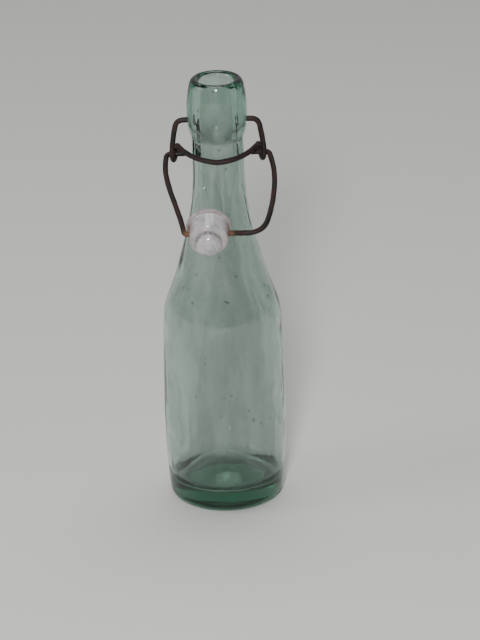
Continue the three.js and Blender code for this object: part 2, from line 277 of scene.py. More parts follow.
class StageSettings(bpy.types.PropertyGroup):
    """Floor, light and camera."""
    elevation: tilt("Elevation", "Camera above level", 24.0)
    roll: tilt("Roll", "Lean of the bottle's top to the left", 1.45)
    distance: length("Distance", "Camera to the point it looks at", 2.0)
    aim_side: length("Aim sideways", "Right of the bottle's axis", 0.00955)
    aim_height: length("Aim height", "Above the foot", 0.1033)
    focal_pixels: plain("Focal length", "In pixels of the photograph", 3640.7)
    floor_reach: length("Floor reach", "Half the floor's width", 4.0)
    floor_tint: tint("Floor", "Plain pale floor", (0.70, 0.70, 0.68))
    wall_tint: tint("Wall", "Surroundings behind the bottle", (0.45, 0.455, 0.45))
    room_tint: tint("Room", "Surroundings on the camera's side", (0.12, 0.125, 0.125))
    ceiling_tint: tint("Ceiling", "Surroundings overhead", (0.012, 0.013, 0.013))
    lit_height: length("Lit height", "Height that the lights point at", 0.13)
    key_place: point("Key place", "Main light, beside the camera", (-0.14, -1.8, 1.15))
    key_size: length("Key size", "Width of the main light", 0.3)
    key_power: watts("Key power", "Power of the main light", 39.0)
    top_place: point("Top place", "Broad soft light overhead", (0.1, 0.35, 1.7))
    top_size: length("Top size", "Width of the light overhead", 1.1)
    top_power: watts("Top power", "Power of the light overhead", 11.0)
    side_place: point("Side place", "Soft light from the left", (-1.4, -0.3, 0.9))
    side_size: length("Side size", "Width of the light from the left", 0.8)
    side_power: watts("Side power", "Power of the light from the left", 6.0)


SETTINGS = {
    "bottle_glass": GlassSettings,
    "bottle_wire": WireSettings,
    "bottle_stopper": StopperSettings,
    "bottle_stage": StageSettings,
}


# Curves and surfaces

def curved(steps, *controls):
    """Points on a curve with handles: the sum of C(n, k) t^k (1 - t)^(n - k) times control k."""
    points = np.array(controls, float)
    degree = len(points) - 1
    power = np.arange(degree + 1)
    choose = np.array([math.comb(degree, k) for k in power])
    t = np.linspace(0.0, 1.0, steps + 1)[:, None]
    return (choose * t ** power * (1.0 - t) ** (degree - power)) @ points


def chain(start, *curves):
    """Points along such curves end to end, each given as its steps, its handles and its end."""
    points = [np.array([start], float)]
    for steps, *controls in curves:
        points.append(curved(steps, points[-1][-1], *controls)[1:])
    return np.concatenate(points)


def joined(curves):
    """Curves end to end as one row of points, with each shared end kept once."""
    return np.concatenate([curves[0]] + [curve[1:] for curve in curves[1:]])


def spaced(points, step):
    """The same path with its points an even step apart along it."""
    run = np.linalg.norm(np.diff(points, axis=0), axis=1)
    along = np.concatenate([[0.0], np.cumsum(run)])
    even = np.linspace(0.0, along[-1], max(2, round(along[-1] / step)) + 1)
    return np.stack([np.interp(even, along, column) for column in points.T], axis=1)


def smooth_step(low, high, value):
    """0 below low, 1 above high, and 3t^2 - 2t^3 between."""
    t = np.clip((value - low) / (high - low), 0.0, 1.0)
    return t * t * (3.0 - 2.0 * t)


def soft_noise(u, v, cells_u, cells_v, seed):
    """Smooth random heights from -1 to 1 over u and v, both 0 to 1, closed round v.

    Random values stand on a lattice, and smooth steps blend the four nearest."""
    lattice = np.random.default_rng(seed).uniform(-1.0, 1.0, (cells_u + 2, cells_v))
    across = np.clip(u, 0.0, 1.0) * cells_u
    around = np.mod(v, 1.0) * cells_v
    i = np.floor(across).astype(int)
    j = np.floor(around).astype(int)
    a = smooth_step(0.0, 1.0, across - i)
    b = smooth_step(0.0, 1.0, around - j)
    j, k = j % cells_v, (j + 1) % cells_v
    low = lattice[i, j] * (1.0 - b) + lattice[i, k] * b
    high = lattice[i + 1, j] * (1.0 - b) + lattice[i + 1, k] * b
    return low * (1.0 - a) + high * a


def layered_noise(u, v, coarse, fine, weight, seed):
    """Soft noise on a coarse lattice, plus a weight times soft noise on a fine one."""
    return soft_noise(u, v, *coarse, seed) + weight * soft_noise(u, v, *fine, seed + 1)


def full_turn(sides):
    """Angles of one turn as a row, the last step short of the first."""
    return np.linspace(0.0, TURN, sides, endpoint=False)[None, :]


def turned(radius, height, angle):
    """A grid turned about Z: (radius cos a, radius sin a, height)."""
    x, y = radius * np.cos(angle), radius * np.sin(angle)
    return np.stack(np.broadcast_arrays(x, y, height), axis=-1)


def carried(path, radius, angle):
    """A ring carried along a path: point + radius (normal cos a + side sin a).

    The first normal is any direction square to the path, and it turns with the path by the least
    rotation from each ring to the next."""
    tangent = np.gradient(path, axis=0)
    tangent /= np.linalg.norm(tangent, axis=1, keepdims=True)
    normal = np.empty_like(tangent)
    normal[0] = np.cross(tangent[0], np.roll(tangent[0], 1) + (0.0, 0.0, 0.5))
    normal[0] /= np.linalg.norm(normal[0])
    for ring in range(1, len(path)):
        flat = normal[ring - 1] - tangent[ring] * (normal[ring - 1] @ tangent[ring])
        normal[ring] = flat / np.linalg.norm(flat)
    side = np.cross(tangent, normal)
    out = normal[:, None] * np.cos(angle)[..., None] + side[:, None] * np.sin(angle)[..., None]
    return path[:, None] + radius[..., None] * out


def grid_faces(rows, columns, wrap_rows=False):
    """Quads of a grid that closes round its columns, and round its rows if asked."""
    i = np.arange(rows if wrap_rows else rows - 1)[:, None]
    j = np.arange(columns)[None, :]
    below, above = i * columns, ((i + 1) % rows) * columns
    turn = (j + 1) % columns
    return np.stack([below + j, below + turn, above + turn, above + j], axis=-1).reshape(-1, 4)


def linked(name, points, faces):
    """A new piece in the scene, from an array of points and a list of faces."""
    mesh = bpy.data.meshes.new(name)
    mesh.from_pydata(points.tolist(), [], faces)
    mesh.update()
    piece = bpy.data.objects.new(name, mesh)
    bpy.context.scene.collection.objects.link(piece)
    return piece


def skin(name, grid, first_pole=None, last_pole=None):
    """A smooth closed piece from a grid of rings: open ends get a fan to a pole point."""
    rows, columns = grid.shape[:2]
    points = grid.reshape(-1, 3)
    faces = grid_faces(rows, columns, wrap_rows=first_pole is None).tolist()
    if first_pole is not None:
        ring = np.arange(columns)
        after = (ring + 1) % columns
        last = (rows - 1) * columns
        start, end = len(points), len(points) + 1
        points = np.concatenate([points, [first_pole], [last_pole]])
        faces += np.stack([np.full(columns, start), after, ring], axis=1).tolist()
        faces += np.stack([np.full(columns, end), last + ring, last + after], axis=1).tolist()
    piece = linked(name, points, faces)
    piece.data.shade_smooth()
    return piece


def points_of(piece):
    """The mesh's vertices as an array."""
    flat = np.empty(len(piece.data.vertices) * 3)
    piece.data.vertices.foreach_get("co", flat)
    return flat.reshape(-1, 3)


def paint(piece, name, values):
    """A number for each vertex, kept as an attribute for the material."""
    layer = piece.data.attributes.new(name, "FLOAT", "POINT")
    layer.data.foreach_set("value", np.asarray(values, float).ravel())


def dress(piece, material, body, node):
    """Gives a piece its material and its body, and hides the imported part that it stands for."""
    piece.data.materials.append(material)
    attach(piece, body)
    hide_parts(node)


# Shader trees

def shader(name):
    """A new material: its node tree, its principled shader and its output."""
    material = bpy.data.materials.new(name)
    material.use_nodes = True
    tree = material.node_tree
    tree.nodes.clear()
    output = tree.nodes.new("ShaderNodeOutputMaterial")
    surface = tree.nodes.new("ShaderNodeBsdfPrincipled")
    tree.links.new(surface.outputs["BSDF"], output.inputs["Surface"])
    return material, tree, surface, output


def feed(tree, socket, value):
    """Links a socket to another, or sets its plain value; a plain colour gets its alpha."""
    if isinstance(value, bpy.types.NodeSocket):
        tree.links.new(value, socket)
    elif socket.type == "RGBA":
        socket.default_value = (*value, 1.0)
    else:
        socket.default_value = value


def fill(tree, node, inputs):
    """Feeds a node's inputs by their names, and gives the node back."""
    for name, value in inputs.items():
        feed(tree, node.inputs[name], value)
    return node


def place(tree):
    """Object coordinates."""
    return tree.nodes.new("ShaderNodeTexCoord").outputs["Object"]


def attribute(tree, name):
    """The piece's own attribute as a number."""
    node = tree.nodes.new("ShaderNodeAttribute")
    node.attribute_name = name
    return node.outputs["Fac"]


def noise(tree, vector, scale, detail=4.0, roughness=0.55, distortion=0.0):
    """Noise from 0 to 1."""
    node = fill(tree, tree.nodes.new("ShaderNodeTexNoise"), {
        "Vector": vector, "Scale": scale, "Detail": detail, "Roughness": roughness,
        "Distortion": distortion})
    return node.outputs["Fac"]


def spots(tree, vector, scale):
    """Distance to the nearest of scattered points."""
    node = fill(tree, tree.nodes.new("ShaderNodeTexVoronoi"), {"Vector": vector, "Scale": scale})
    return node.outputs["Distance"]


def ranged(tree, value, low, high, to_low=0.0, to_high=1.0):
    """A value carried smoothly from one range to another."""
    node = tree.nodes.new("ShaderNodeMapRange")
    node.interpolation_type = "SMOOTHSTEP"
    fill(tree, node, {"Value": value, "From Min": low, "From Max": high,
                      "To Min": to_low, "To Max": to_high})
    return node.outputs["Result"]


def between(tree, value, first, second):
    """A number that goes from first to second while the value goes from 0 to 1."""
    return ranged(tree, value, 0.0, 1.0, first, second)


def dots(tree, vector, scale, core, edge, strength=1.0):
    """Scattered soft dots: strong out to the core and gone at the edge, in shares of a cell."""
    return ranged(tree, spots(tree, vector, scale), core, edge, strength, 0.0)


def maths(tree, operation, first, second):
    """Two numbers put together by an operation, held from 0 to 1."""
    node = tree.nodes.new("ShaderNodeMath")
    node.operation = operation
    node.use_clamp = True
    feed(tree, node.inputs[0], first)
    feed(tree, node.inputs[1], second)
    return node.outputs[0]


def mixed(tree, amount, first, second):
    """Two colours mixed by an amount."""
    node = tree.nodes.new("ShaderNodeMix")
    node.data_type = "RGBA"
    feed(tree, node.inputs["Factor"], amount)
    feed(tree, node.inputs[MIX_FIRST], first)
    feed(tree, node.inputs[MIX_SECOND], second)
    return node.outputs[MIX_RESULT]


def bumped(tree, height, strength, distance, normal=None):
    """A normal bent by a height."""
    node = fill(tree, tree.nodes.new("ShaderNodeBump"), {
        "Height": height, "Strength": strength, "Distance": distance})
    if normal is not None:
        feed(tree, node.inputs["Normal"], normal)
    return node.outputs["Normal"]


def weathering_group():
    """Patches with ragged edges and fine grain, shared by the bottle's four materials.

    Patch is coarse noise, roughened by fine noise and cut between two levels. Grain is the
    fine noise by itself."""
    name = "Weathering"
    if name in bpy.data.node_groups:
        return bpy.data.node_groups[name]
    tree = bpy.data.node_groups.new(name, "ShaderNodeTree")
    sockets = tree.interface
    sockets.new_socket("Vector", in_out="INPUT", socket_type="NodeSocketVector")
    for label, value in WEATHERING.items():
        socket = sockets.new_socket(label, in_out="INPUT", socket_type="NodeSocketFloat")
        socket.default_value = value
    for label in ("Patch", "Grain"):
        sockets.new_socket(label, in_out="OUTPUT", socket_type="NodeSocketFloat")
    inside = tree.nodes.new("NodeGroupInput").outputs
    coarse = noise(tree, inside["Vector"], inside["Patch Scale"], detail=3.0)
    grain = noise(tree, inside["Vector"], inside["Grain Scale"], detail=5.0, roughness=0.65)
    ragged = maths(tree, "ADD", coarse, maths(tree, "MULTIPLY", grain, 0.25))
    patch = ranged(tree, ragged, inside["Low"], inside["High"])
    fill(tree, tree.nodes.new("NodeGroupOutput"), {"Patch": patch, "Grain": grain})
    return tree


def weathering(tree, vector, patch_scale, grain_scale, low, high):
    """The weathering group with its own values: its patch and its grain."""
    node = tree.nodes.new("ShaderNodeGroup")
    node.node_tree = weathering_group()
    fill(tree, node, {"Vector": vector, "Patch Scale": patch_scale, "Grain Scale": grain_scale,
                      "Low": low, "High": high})
    return node.outputs["Patch"], node.outputs["Grain"]


# Materials

def green_glass(glass):
    """Clear glass with a green body, drawn-out ripples and haze, and a few small seeds."""
    material, tree, surface, output = shader("pale_green_glass")
    vector = place(tree)
    stretch = fill(tree, tree.nodes.new("ShaderNodeMapping"), {
        "Vector": vector, "Scale": (1.0, 1.0, 0.3)})
    drawn = stretch.outputs["Vector"]
    haze, _ = weathering(tree, drawn, patch_scale=95.0, grain_scale=700.0, low=0.52, high=0.86)
    waves = noise(tree, drawn, scale=70.0, detail=2.0, distortion=0.6)
    seeds = dots(tree, vector, scale=120.0, core=0.042, edge=0.092)
    stained = maths(tree, "MAXIMUM", haze, maths(tree, "MULTIPLY", seeds, 0.25))
    rippled = bumped(tree, waves, strength=0.18, distance=0.002)
    fill(tree, surface, {
        "Base Color": mixed(tree, stained, glass.surface_tint, glass.haze_tint),
        "Roughness": between(tree, haze, 0.003, 0.02),
        "IOR": glass.ior,
        "Transmission Weight": 1.0,
        "Normal": bumped(tree, seeds, strength=0.6, distance=0.0006, normal=rippled),
    })
    inside = fill(tree, tree.nodes.new("ShaderNodeVolumeAbsorption"), {
        "Color": glass.body_tint, "Density": glass.density})
    tree.links.new(inside.outputs["Volume"], output.inputs["Volume"])
    return material


def rusted_iron(wire):
    """Dark crust worn to brown, with fresh rust in the pits and where the stopper rubs."""
    material, tree, surface, _ = shader("rusted_iron")
    vector = place(tree)
    worn, grain = weathering(tree, vector, patch_scale=240.0, grain_scale=1500.0,
                             low=0.50, high=0.74)
    pits, _ = weathering(tree, vector, patch_scale=560.0, grain_scale=2400.0, low=0.70, high=0.84)
    ragged = ranged(tree, grain, 0.36, 0.56, to_low=0.25)
    rubbed = maths(tree, "MULTIPLY", attribute(tree, "rubbed"), ragged)
    fresh = maths(tree, "MAXIMUM", maths(tree, "MULTIPLY", pits, 0.22), rubbed)
    crust = mixed(tree, worn, wire.dark, wire.brown)
    rough = bumped(tree, grain, strength=0.5, distance=0.0003)
    fill(tree, surface, {
        "Base Color": mixed(tree, fresh, crust, wire.orange),
        "Roughness": between(tree, worn, 0.55, 0.8),
        "Metallic": between(tree, fresh, 0.3, 0.0),
        "Normal": bumped(tree, pits, strength=0.4, distance=0.0002, normal=rough),
    })
    return material


def glazed_porcelain(stopper):
    """White glaze with greyer clouds, a pink blush, iron specks, painted shade in the crease and
    rust.
    """
    material, tree, surface, _ = shader("glazed_porcelain")
    vector = place(tree)
    cloud, grain = weathering(tree, vector, patch_scale=150.0, grain_scale=900.0,
                              low=0.50, high=0.85)
    blush, _ = weathering(tree, vector, patch_scale=210.0, grain_scale=1300.0, low=0.64, high=0.80)
    ragged = ranged(tree, grain, 0.35, 0.62, to_low=0.35)
    stain = maths(tree, "MULTIPLY", attribute(tree, "stained"), ragged)
    # Painted shade: darkens the groove at the knob's foot, made ragged by the grain
    crease_shade = maths(tree, "MULTIPLY", attribute(tree, "crease"), ragged)
    large = dots(tree, vector, scale=210.0, core=0.07, edge=0.12)
    small = dots(tree, vector, scale=520.0, core=0.05, edge=0.10, strength=0.6)
    clouded = ranged(tree, cloud, 0.1, 0.8, to_low=0.4, to_high=0.9)
    specks = maths(tree, "MULTIPLY", maths(tree, "MAXIMUM", large, small), clouded)
    colour = mixed(tree, cloud, stopper.glaze, stopper.shade)
    for amount, over in ((maths(tree, "MULTIPLY", blush, 0.7), stopper.blush),
                         (stain, stopper.stain), (crease_shade, stopper.crease_shade), (specks, stopper.speck)):
        colour = mixed(tree, amount, colour, over)
    soft = noise(tree, vector, scale=260.0, detail=2.0)
    fill(tree, surface, {
        "Base Color": colour,
        "Roughness": between(tree, stain, 0.20, 0.6),
        "Coat Weight": ranged(tree, stain, 0.0, 0.8, to_low=0.6, to_high=0.0),
        "Coat Roughness": 0.06,
        "Subsurface Weight": 0.08,
        "Subsurface Scale": 0.001,
        "Normal": bumped(tree, soft, strength=0.10, distance=0.0004),
    })
    return material


def aged_rubber(stopper):
    """Greyish rubber with a dry bloom, fine pores and grain."""
    material, tree, surface, _ = shader("aged_rubber")
    vector = place(tree)
    dry, grain = weathering(tree, vector, patch_scale=320.0, grain_scale=2200.0,
                            low=0.45, high=0.75)
    pores = ranged(tree, spots(tree, vector, scale=1400.0), 0.0, 0.35)
    porous = bumped(tree, pores, strength=0.3, distance=0.0002)
    fill(tree, surface, {
        "Base Color": mixed(tree, dry, stopper.rubber, stopper.bloom),
        "Roughness": between(tree, dry, 0.62, 0.9),
        "Normal": bumped(tree, grain, strength=0.3, distance=0.0002, normal=porous),
    })
    return material


def pale_floor(stage):
    """Matt pale floor with the faintest unevenness."""
    material, tree, surface, _ = shader("pale_floor")
    soft = noise(tree, place(tree), scale=3.0, detail=2.0)
    darker = [FLOOR_SHADE * part for part in stage.floor_tint]
    fill(tree, surface, {
        "Base Color": mixed(tree, soft, stage.floor_tint, darker),
        "Roughness": 0.85,
    })
    return material


# Bottle

def glass_profile(glass):
    """Outline of the glass as radius and height, and how many points are outside.

    Straight lines and smooth curves run from the foot's middle up the outside, over the rim and
    down the inside to the middle of the floor. Rise and lean are the handle at the middle of the
    slope, drawn_in and turn_up the one at the shoulder, and flare widens the one at the neck."""
    top = glass.height
    foot = glass.foot_radius - glass.heel
    quarter = CIRCLE_HANDLE * glass.heel
    lip_foot = top - glass.lip_length
    lip_widest = top - glass.lip_swell
    rim_edge = top - glass.rim_depth
    rim_top = (glass.rim_radius + glass.mouth_radius) / 2.0
    rise = (glass.neck_foot - glass.slope_height) / 4.0
    lean = 0.27 * rise
    drawn_in = 0.0007
    turn_up = 0.013
    flare = 0.0002
    middle = (glass.body_widest + glass.shoulder_height) / 2.0
    outside = chain(
        (0.0, glass.push_up),
        (14, (foot * 0.75, glass.push_up), (foot * 0.85, 0.0), (foot, 0.0)),
        (12, (foot + quarter, 0.0), (glass.foot_radius, glass.heel - quarter),
         (glass.foot_radius, glass.heel)),
        (24, (glass.body_radius, (glass.heel + glass.body_widest) / 2.0),
         (glass.body_radius, glass.body_widest)),
        (24, (glass.body_radius, middle), (glass.shoulder_radius, glass.shoulder_height)),
        (22, (glass.shoulder_radius - drawn_in, glass.shoulder_height + turn_up),
         (glass.slope_radius + lean, glass.slope_height - rise),
         (glass.slope_radius, glass.slope_height)),
        (26, (glass.slope_radius - lean, glass.slope_height + rise),
         (glass.neck_radius + flare, glass.neck_foot - 1.5 * rise),
         (glass.neck_radius, glass.neck_foot)),
        (12, (glass.neck_radius, lip_foot)),
        (28, (glass.neck_radius, lip_foot + glass.lip_length / 9.0),
         (glass.lip_radius, lip_widest - glass.lip_length / 4.0), (glass.lip_radius, lip_widest)),
        (26, (glass.lip_radius, (lip_widest + rim_edge) / 2.0), (glass.rim_radius, rim_edge)),
        (8, (glass.rim_radius - glass.rim_depth / 4.0, top), (rim_top, top)),
    )
    bore = glass.neck_radius - glass.neck_wall
    body = glass.body_radius - glass.body_wall
    shoulder = glass.shoulder_radius - glass.body_wall
    slope = glass.slope_radius - glass.body_wall
    flat = body - glass.inner_heel
    crown = glass.floor + glass.mound
    inside = chain(
        (rim_top, top),
        (12, (glass.mouth_radius, top), (glass.mouth_radius, top - glass.mouth_depth)),
        (16, (bore, lip_foot)),
        (8, (bore, glass.neck_foot)),
        (22, (bore + flare, glass.neck_foot - 1.5 * rise),
         (slope - lean, glass.slope_height + rise), (slope, glass.slope_height)),
        (18, (slope + lean, glass.slope_height - rise),
         (shoulder - drawn_in, glass.shoulder_height + turn_up), (shoulder, glass.shoulder_height)),
        (18, (body, middle), (body, glass.body_widest)),
        (14, (body, glass.floor + glass.inner_heel)),
        (12, (body, glass.floor), (flat, glass.floor)),
        (14, (flat / 2.0, crown), (0.0, crown)),
    )
    return np.concatenate([outside, inside[1:]]), len(outside)


def glass_surface(glass, wire):
    """The glass: its profile turned about Z, with waves, upright streaks inside and two dimples.

    Radius = profile + ripple * noise(height, angle) + streak * noise(height, angle) inside
    - dimple depth near the lever's pivot."""
    profile, outer_count = glass_profile(glass)
    rings = profile[1:-1]
    angle = full_turn(glass.sides)
    radius, height = rings[:, :1], rings[:, 1:]
    outside = (np.arange(1, len(profile) - 1) < outer_count)[:, None]
    u, v = np.broadcast_arrays(height / glass.height, angle / TURN)
    outer_wave = layered_noise(u, v, (9, 4), (24, 9), 0.45, OUTSIDE_SEED)
    inner_wave = layered_noise(u, v, (10, 4), (26, 9), 0.4, INSIDE_SEED)
    streaks = layered_noise(u, v, (4, 17), (6, 31), 0.5, STREAK_SEED)
    off_axis = smooth_step(*CALM_MIDDLE, radius / glass.body_radius)
    off_rim = smooth_step(*CALM_RIM, glass.height - height)
    standing = smooth_step(0.0, glass.heel, height)
    inner_wave = glass.inner_ripple * inner_wave + glass.streak * streaks
    wave = np.where(outside, glass.ripple * outer_wave * standing, inner_wave)
    reach = np.hypot(radius * np.sin(angle), height - PIVOT[2]) / wire.radius
    dimple = glass.dimple_depth * (1.0 - smooth_step(*DIMPLE_REACH, reach)) * outside
    grid = turned(radius + wave * (off_axis * off_rim) - dimple, height, angle)
    return skin("glass_bottle", grid, (0.0, 0.0, profile[0, 1]), (0.0, 0.0, profile[-1, 1]))


# Wire

def mirrored(half):
    """The same path on the other side."""
    return half * (-1.0, 1.0, 1.0)


def towards(start, end, distance):
    """The place a distance from one point towards another."""
    step = end - start
    return start + step * distance / np.linalg.norm(step)


def wire_surface(name, path, wire, seed):
    """A wire with rust relief: a ring carried along the path, its ends rounded off.

    Radius = wire radius * (1 + pitting * noise) * sqrt(1 - t^2) within a radius of each end."""
    path = spaced(path, wire.radius / RINGS_PER_RADIUS)
    angle = full_turn(wire.sides)
    count = len(path)
    u, v = np.broadcast_arrays(np.linspace(0.0, 1.0, count)[:, None], angle / TURN)
    lumps = 0.6 * soft_noise(u, v, count // 12, 4, seed)
    crust = 0.5 * soft_noise(u, v, count // 4, 9, seed + 1)
    pits = 0.5 * smooth_step(0.55, 0.9, soft_noise(u, v, count // 6, 7, seed + 2))
    relief = lumps + crust - pits
    edge = np.minimum(np.arange(count), np.arange(count)[::-1])[:, None] / RINGS_PER_RADIUS
    rounding = np.sqrt(np.clip(1.0 - (1.0 - np.clip(edge, 0.0, 1.0)) ** 2, 0.0, 1.0))
    radius = wire.radius * (1.0 + wire.pitting * relief) * rounding
    grid = carried(path, radius, angle)
    return skin(name, grid[1:-1], path[0], path[-1])


def lever_path(wire, glass):
    """Lever: pivot end, bent corner, slanting arm, eye wound under, behind and over, and the yoke.

    The eye is three quarters of a turn of a helix along X, and each half of the yoke a quadratic
    curve that leaves the eye towards the front and ends square to it."""
    pitch = 2.0 * wire.radius + wire.gap
    arm_x = LEVER_HIGH.x - wire.radius
    eye_y = wire.eye_radius
    eye_z = PIN[2] - pitch + wire.eye_radius
    corner = np.array((wire.lever_corner, PIVOT[2]))
    arm_turn = np.array((arm_x, eye_z + 1.5 * wire.eye_radius))
    bend_to = towards(corner, arm_turn, wire.lever_bend)
    upper = chain((wire.lever_corner - wire.lever_bend, PIVOT[2]), (16, corner, bend_to),
                  (24, arm_turn, (arm_x, eye_z)))
    upper = np.stack([upper[:, 0], 0.0 * upper[:, 0], upper[:, 1]], axis=1)
    w = np.linspace(0.0, 1.5 * math.pi, 60)
    eye = np.stack([arm_x - pitch * w / w[-1], eye_y - wire.eye_radius * np.cos(w),
                    eye_z - wire.eye_radius * np.sin(w)], axis=1)
    front = -(glass.neck_radius + wire.gap + wire.radius)
    top = eye_z + wire.eye_radius
    yoke = curved(40, (arm_x - pitch, eye_y, top),
                  (wire.yoke_spread, front, top - wire.yoke_drop / 2.0),
                  (0.0, front, top - wire.yoke_drop))
    pivot_end = (glass.lip_radius - glass.dimple_depth + wire.seat_gap, 0.0, PIVOT[2])
    half = np.concatenate([[pivot_end], joined([upper, eye, yoke])])
    return np.concatenate([mirrored(half), half[-2::-1]])


def bail_side(wire, bow_out, pull_in, elbow_x, elbow_bend):
    """One side of the bail, drawn to the right: pin through the eye, bowed arm and elbow.

    The arm is a cubic that bows out and is pulled in lower down, and everything lies in one plane,
    tipped forward to the bail's angle."""
    pin_from = LEVER_HIGH.x + wire.radius + wire.gap - wire.bail_bend
    bend = wire.bail_bend
    a = np.linspace(0.0, math.pi / 2.0, 12)
    corner = np.stack([pin_from + bend * np.sin(a), bend - bend * np.cos(a)], axis=1)
    bow = np.array((pin_from + bend + bow_out, BAIL_LENGTH / 3.0))
    elbow = np.array((elbow_x, BAIL_LENGTH))
    pull = (bow + elbow) / 2.0 - (pull_in, 0.0)
    elbow_top = towards(elbow, pull, elbow_bend)
    arm = chain((pin_from + bend, bend), (40, bow, pull, elbow_top),
                (16, elbow, (elbow_x - elbow_bend, BAIL_LENGTH)))
    across, down = np.concatenate([[(wire.pin_end, 0.0)], joined([corner, arm])]).T
    forward, drop = math.sin(BAIL_ANGLE), math.cos(BAIL_ANGLE)
    return np.stack([across, PIN[1] - down * forward, PIN[2] - down * drop], axis=1)


def bail_path(wire, stopper):
    """Bail: its left side, the straight run through the stopper and its right side."""
    left_elbow = stopper.radius - HOLE[0] + wire.radius
    left = mirrored(bail_side(wire, wire.left_bow, wire.left_pull, left_elbow, wire.left_bend))
    right = bail_side(wire, wire.right_bow, -wire.right_push, wire.right_elbow, wire.right_bend)
    return np.concatenate([left, right[::-1]])


# Stopper

def stopper_place(stopper):
    """From the stopper's own axes, knob up and wire hole at the origin, to where it hangs."""
    return Matrix.Translation(HOLE) @ Matrix.Rotation(math.pi / 2.0 + stopper.dip, 4, "X")


def stopper_profile(stopper):
    """Half section of the porcelain as radius and height, from the nose to the knob."""
    back = -(stopper.flange + stopper.nose_length)
    seat = -(stopper.flange + stopper.gasket_thickness)
    front = stopper.shoulder
    edge = stopper.shoulder_edge
    worn = edge / 2.0
    rim = stopper.flange_rim - stopper.flange
    dome = stopper.knob_front - stopper.knob_dome
    return chain(
        (0.0, back),
        (26, (stopper.nose_tip, back), (stopper.nose_taper, (back + seat) / 2.0),
         (stopper.nose_radius, seat)),
        (6, (stopper.nose_radius, -stopper.flange)),
        (8, (stopper.radius - worn, -stopper.flange)),
        (6, (stopper.radius, -stopper.flange), (stopper.radius, rim - worn)),
        (6, (stopper.radius, rim), (stopper.radius - worn / 2.0, rim + worn)),
        (18, (stopper.barrel_radius, stopper.barrel)),
        (24, (stopper.barrel_radius, front - edge), (stopper.barrel_radius - edge, front - worn),
         (stopper.knob_waist + worn, front)),
        (8, (stopper.knob_waist, front), (stopper.knob_waist, front + worn)),
        (10, (stopper.knob_radius, (front + dome) / 2.0), (stopper.knob_radius, dome)),
        (22, (stopper.knob_radius, dome + stopper.knob_dome / 2.0),
         (stopper.knob_radius / 2.0, stopper.knob_front), (0.0, stopper.knob_front)),
    )


def bored(piece, radius, reach, sides):
    """Cuts a round hole along X right through a piece."""
    ends = np.linspace(-reach, reach, 3)[:, None]
    around = -full_turn(sides)
    y, z = radius * np.cos(around), radius * np.sin(around)
    grid = np.stack(np.broadcast_arrays(ends, y, z), axis=-1)
    drill = skin("drill", grid[:, ::-1], (-reach, 0.0, 0.0), (reach, 0.0, 0.0))
    cut = piece.modifiers.new("wire_hole", "BOOLEAN")
    cut.operation = "DIFFERENCE"
    cut.solver = "EXACT"
    cut.object = drill
    depsgraph = bpy.context.evaluated_depsgraph_get()
    done = bpy.data.meshes.new_from_object(piece.evaluated_get(depsgraph))
    piece.modifiers.clear()
    piece.data = done
    bpy.data.objects.remove(drill)


def porcelain_surface(stopper, wire):
    """Porcelain: its profile turned about its axis, uneven by a little, with the wire's hole.

    Stained is high round the hole's mouths and runs down from them; crease is high in the groove at
    the knob's foot, where shade is painted."""
    profile = stopper_profile(stopper)
    rings = profile[1:-1]
    angle = full_turn(stopper.sides)
    u, v = np.broadcast_arrays(np.linspace(0.0, 1.0, len(rings))[:, None], angle / TURN)
    uneven = 1.0 + PORCELAIN_UNEVEN * soft_noise(u, v, 8, 5, PORCELAIN_SEED)
    grid = turned(rings[:, :1] * uneven, rings[:, 1:], angle)
    piece = skin("porcelain_head", grid, (0.0, 0.0, profile[0, 1]), (0.0, 0.0, profile[-1, 1]))
    bored(piece, wire.radius + stopper.hole_gap, 2.0 * stopper.radius, stopper.hole_sides)
    x, y, z = points_of(piece).T
    flank = smooth_step(*STAINED_SIDES, np.abs(x) / stopper.radius)
    below = np.where(y < 0.0, STAIN_FALL * y, y)
    mouth = np.hypot(below, z) / stopper.radius
    paint(piece, "stained", flank * (1.0 - smooth_step(*STAINED_MOUTH, mouth)))
    groove = np.hypot(np.hypot(x, y) - stopper.knob_waist, z - stopper.shoulder)
    # Mask for the painted shade in the groove at the knob's foot
    paint(piece, "crease", CREASE_SHADE * (1.0 - smooth_step(*CREASE_REACH, groove)))
    piece.data.transform(stopper_place(stopper))
    return piece


def gasket_surface(stopper):
    """Gasket: a flat ring with worn round edges, swollen and a little wavy.

    The section is a rounded rectangle carried round the nose, its radius times a soft noise."""
    inner = stopper.nose_radius + stopper.hole_gap
    outer = stopper.gasket_radius
    front = -(stopper.flange + stopper.hole_gap)
    back = front - stopper.gasket_thickness
    worn = stopper.gasket_round
    section = chain(
        (inner, back),
        (8, (outer - worn, back)),
        (6, (outer, back), (outer, back + worn)),
        (4, (outer, front - worn)),
        (6, (outer, front), (outer - worn, front)),
        (8, (inner, front)),
        (5, (inner, back)),
    )[:-1]
    angle = full_turn(stopper.sides)
    v = np.broadcast_to(angle / TURN, (len(section), stopper.sides))
    wavy = GASKET_UNEVEN * soft_noise(0.0 * v, v, 1, 11, GASKET_SEED)
    swell = 1.0 + wavy * smooth_step(inner, outer, section[:, :1])
    grid = turned(section[:, :1] * swell, section[:, 1:], angle)
    piece = skin("gasket_ring", grid)
    piece.data.transform(stopper_place(stopper))
    return piece


# Stage

def floor_surface(reach):
    """Floor: a flat sheet, x and y from -reach to reach, at height 0."""
    count = FLOOR_CELLS + 1
    line = np.linspace(-reach, reach, count)
    x, y = np.meshgrid(line, line)
    points = np.stack([x, y, 0.0 * x], axis=-1).reshape(-1, 3)
    i = np.arange(FLOOR_CELLS)[:, None] * count + np.arange(FLOOR_CELLS)[None, :]
    faces = np.stack([i, i + 1, i + count + 1, i + count], axis=-1).reshape(-1, 4)
    return linked("floor", points, faces.tolist())


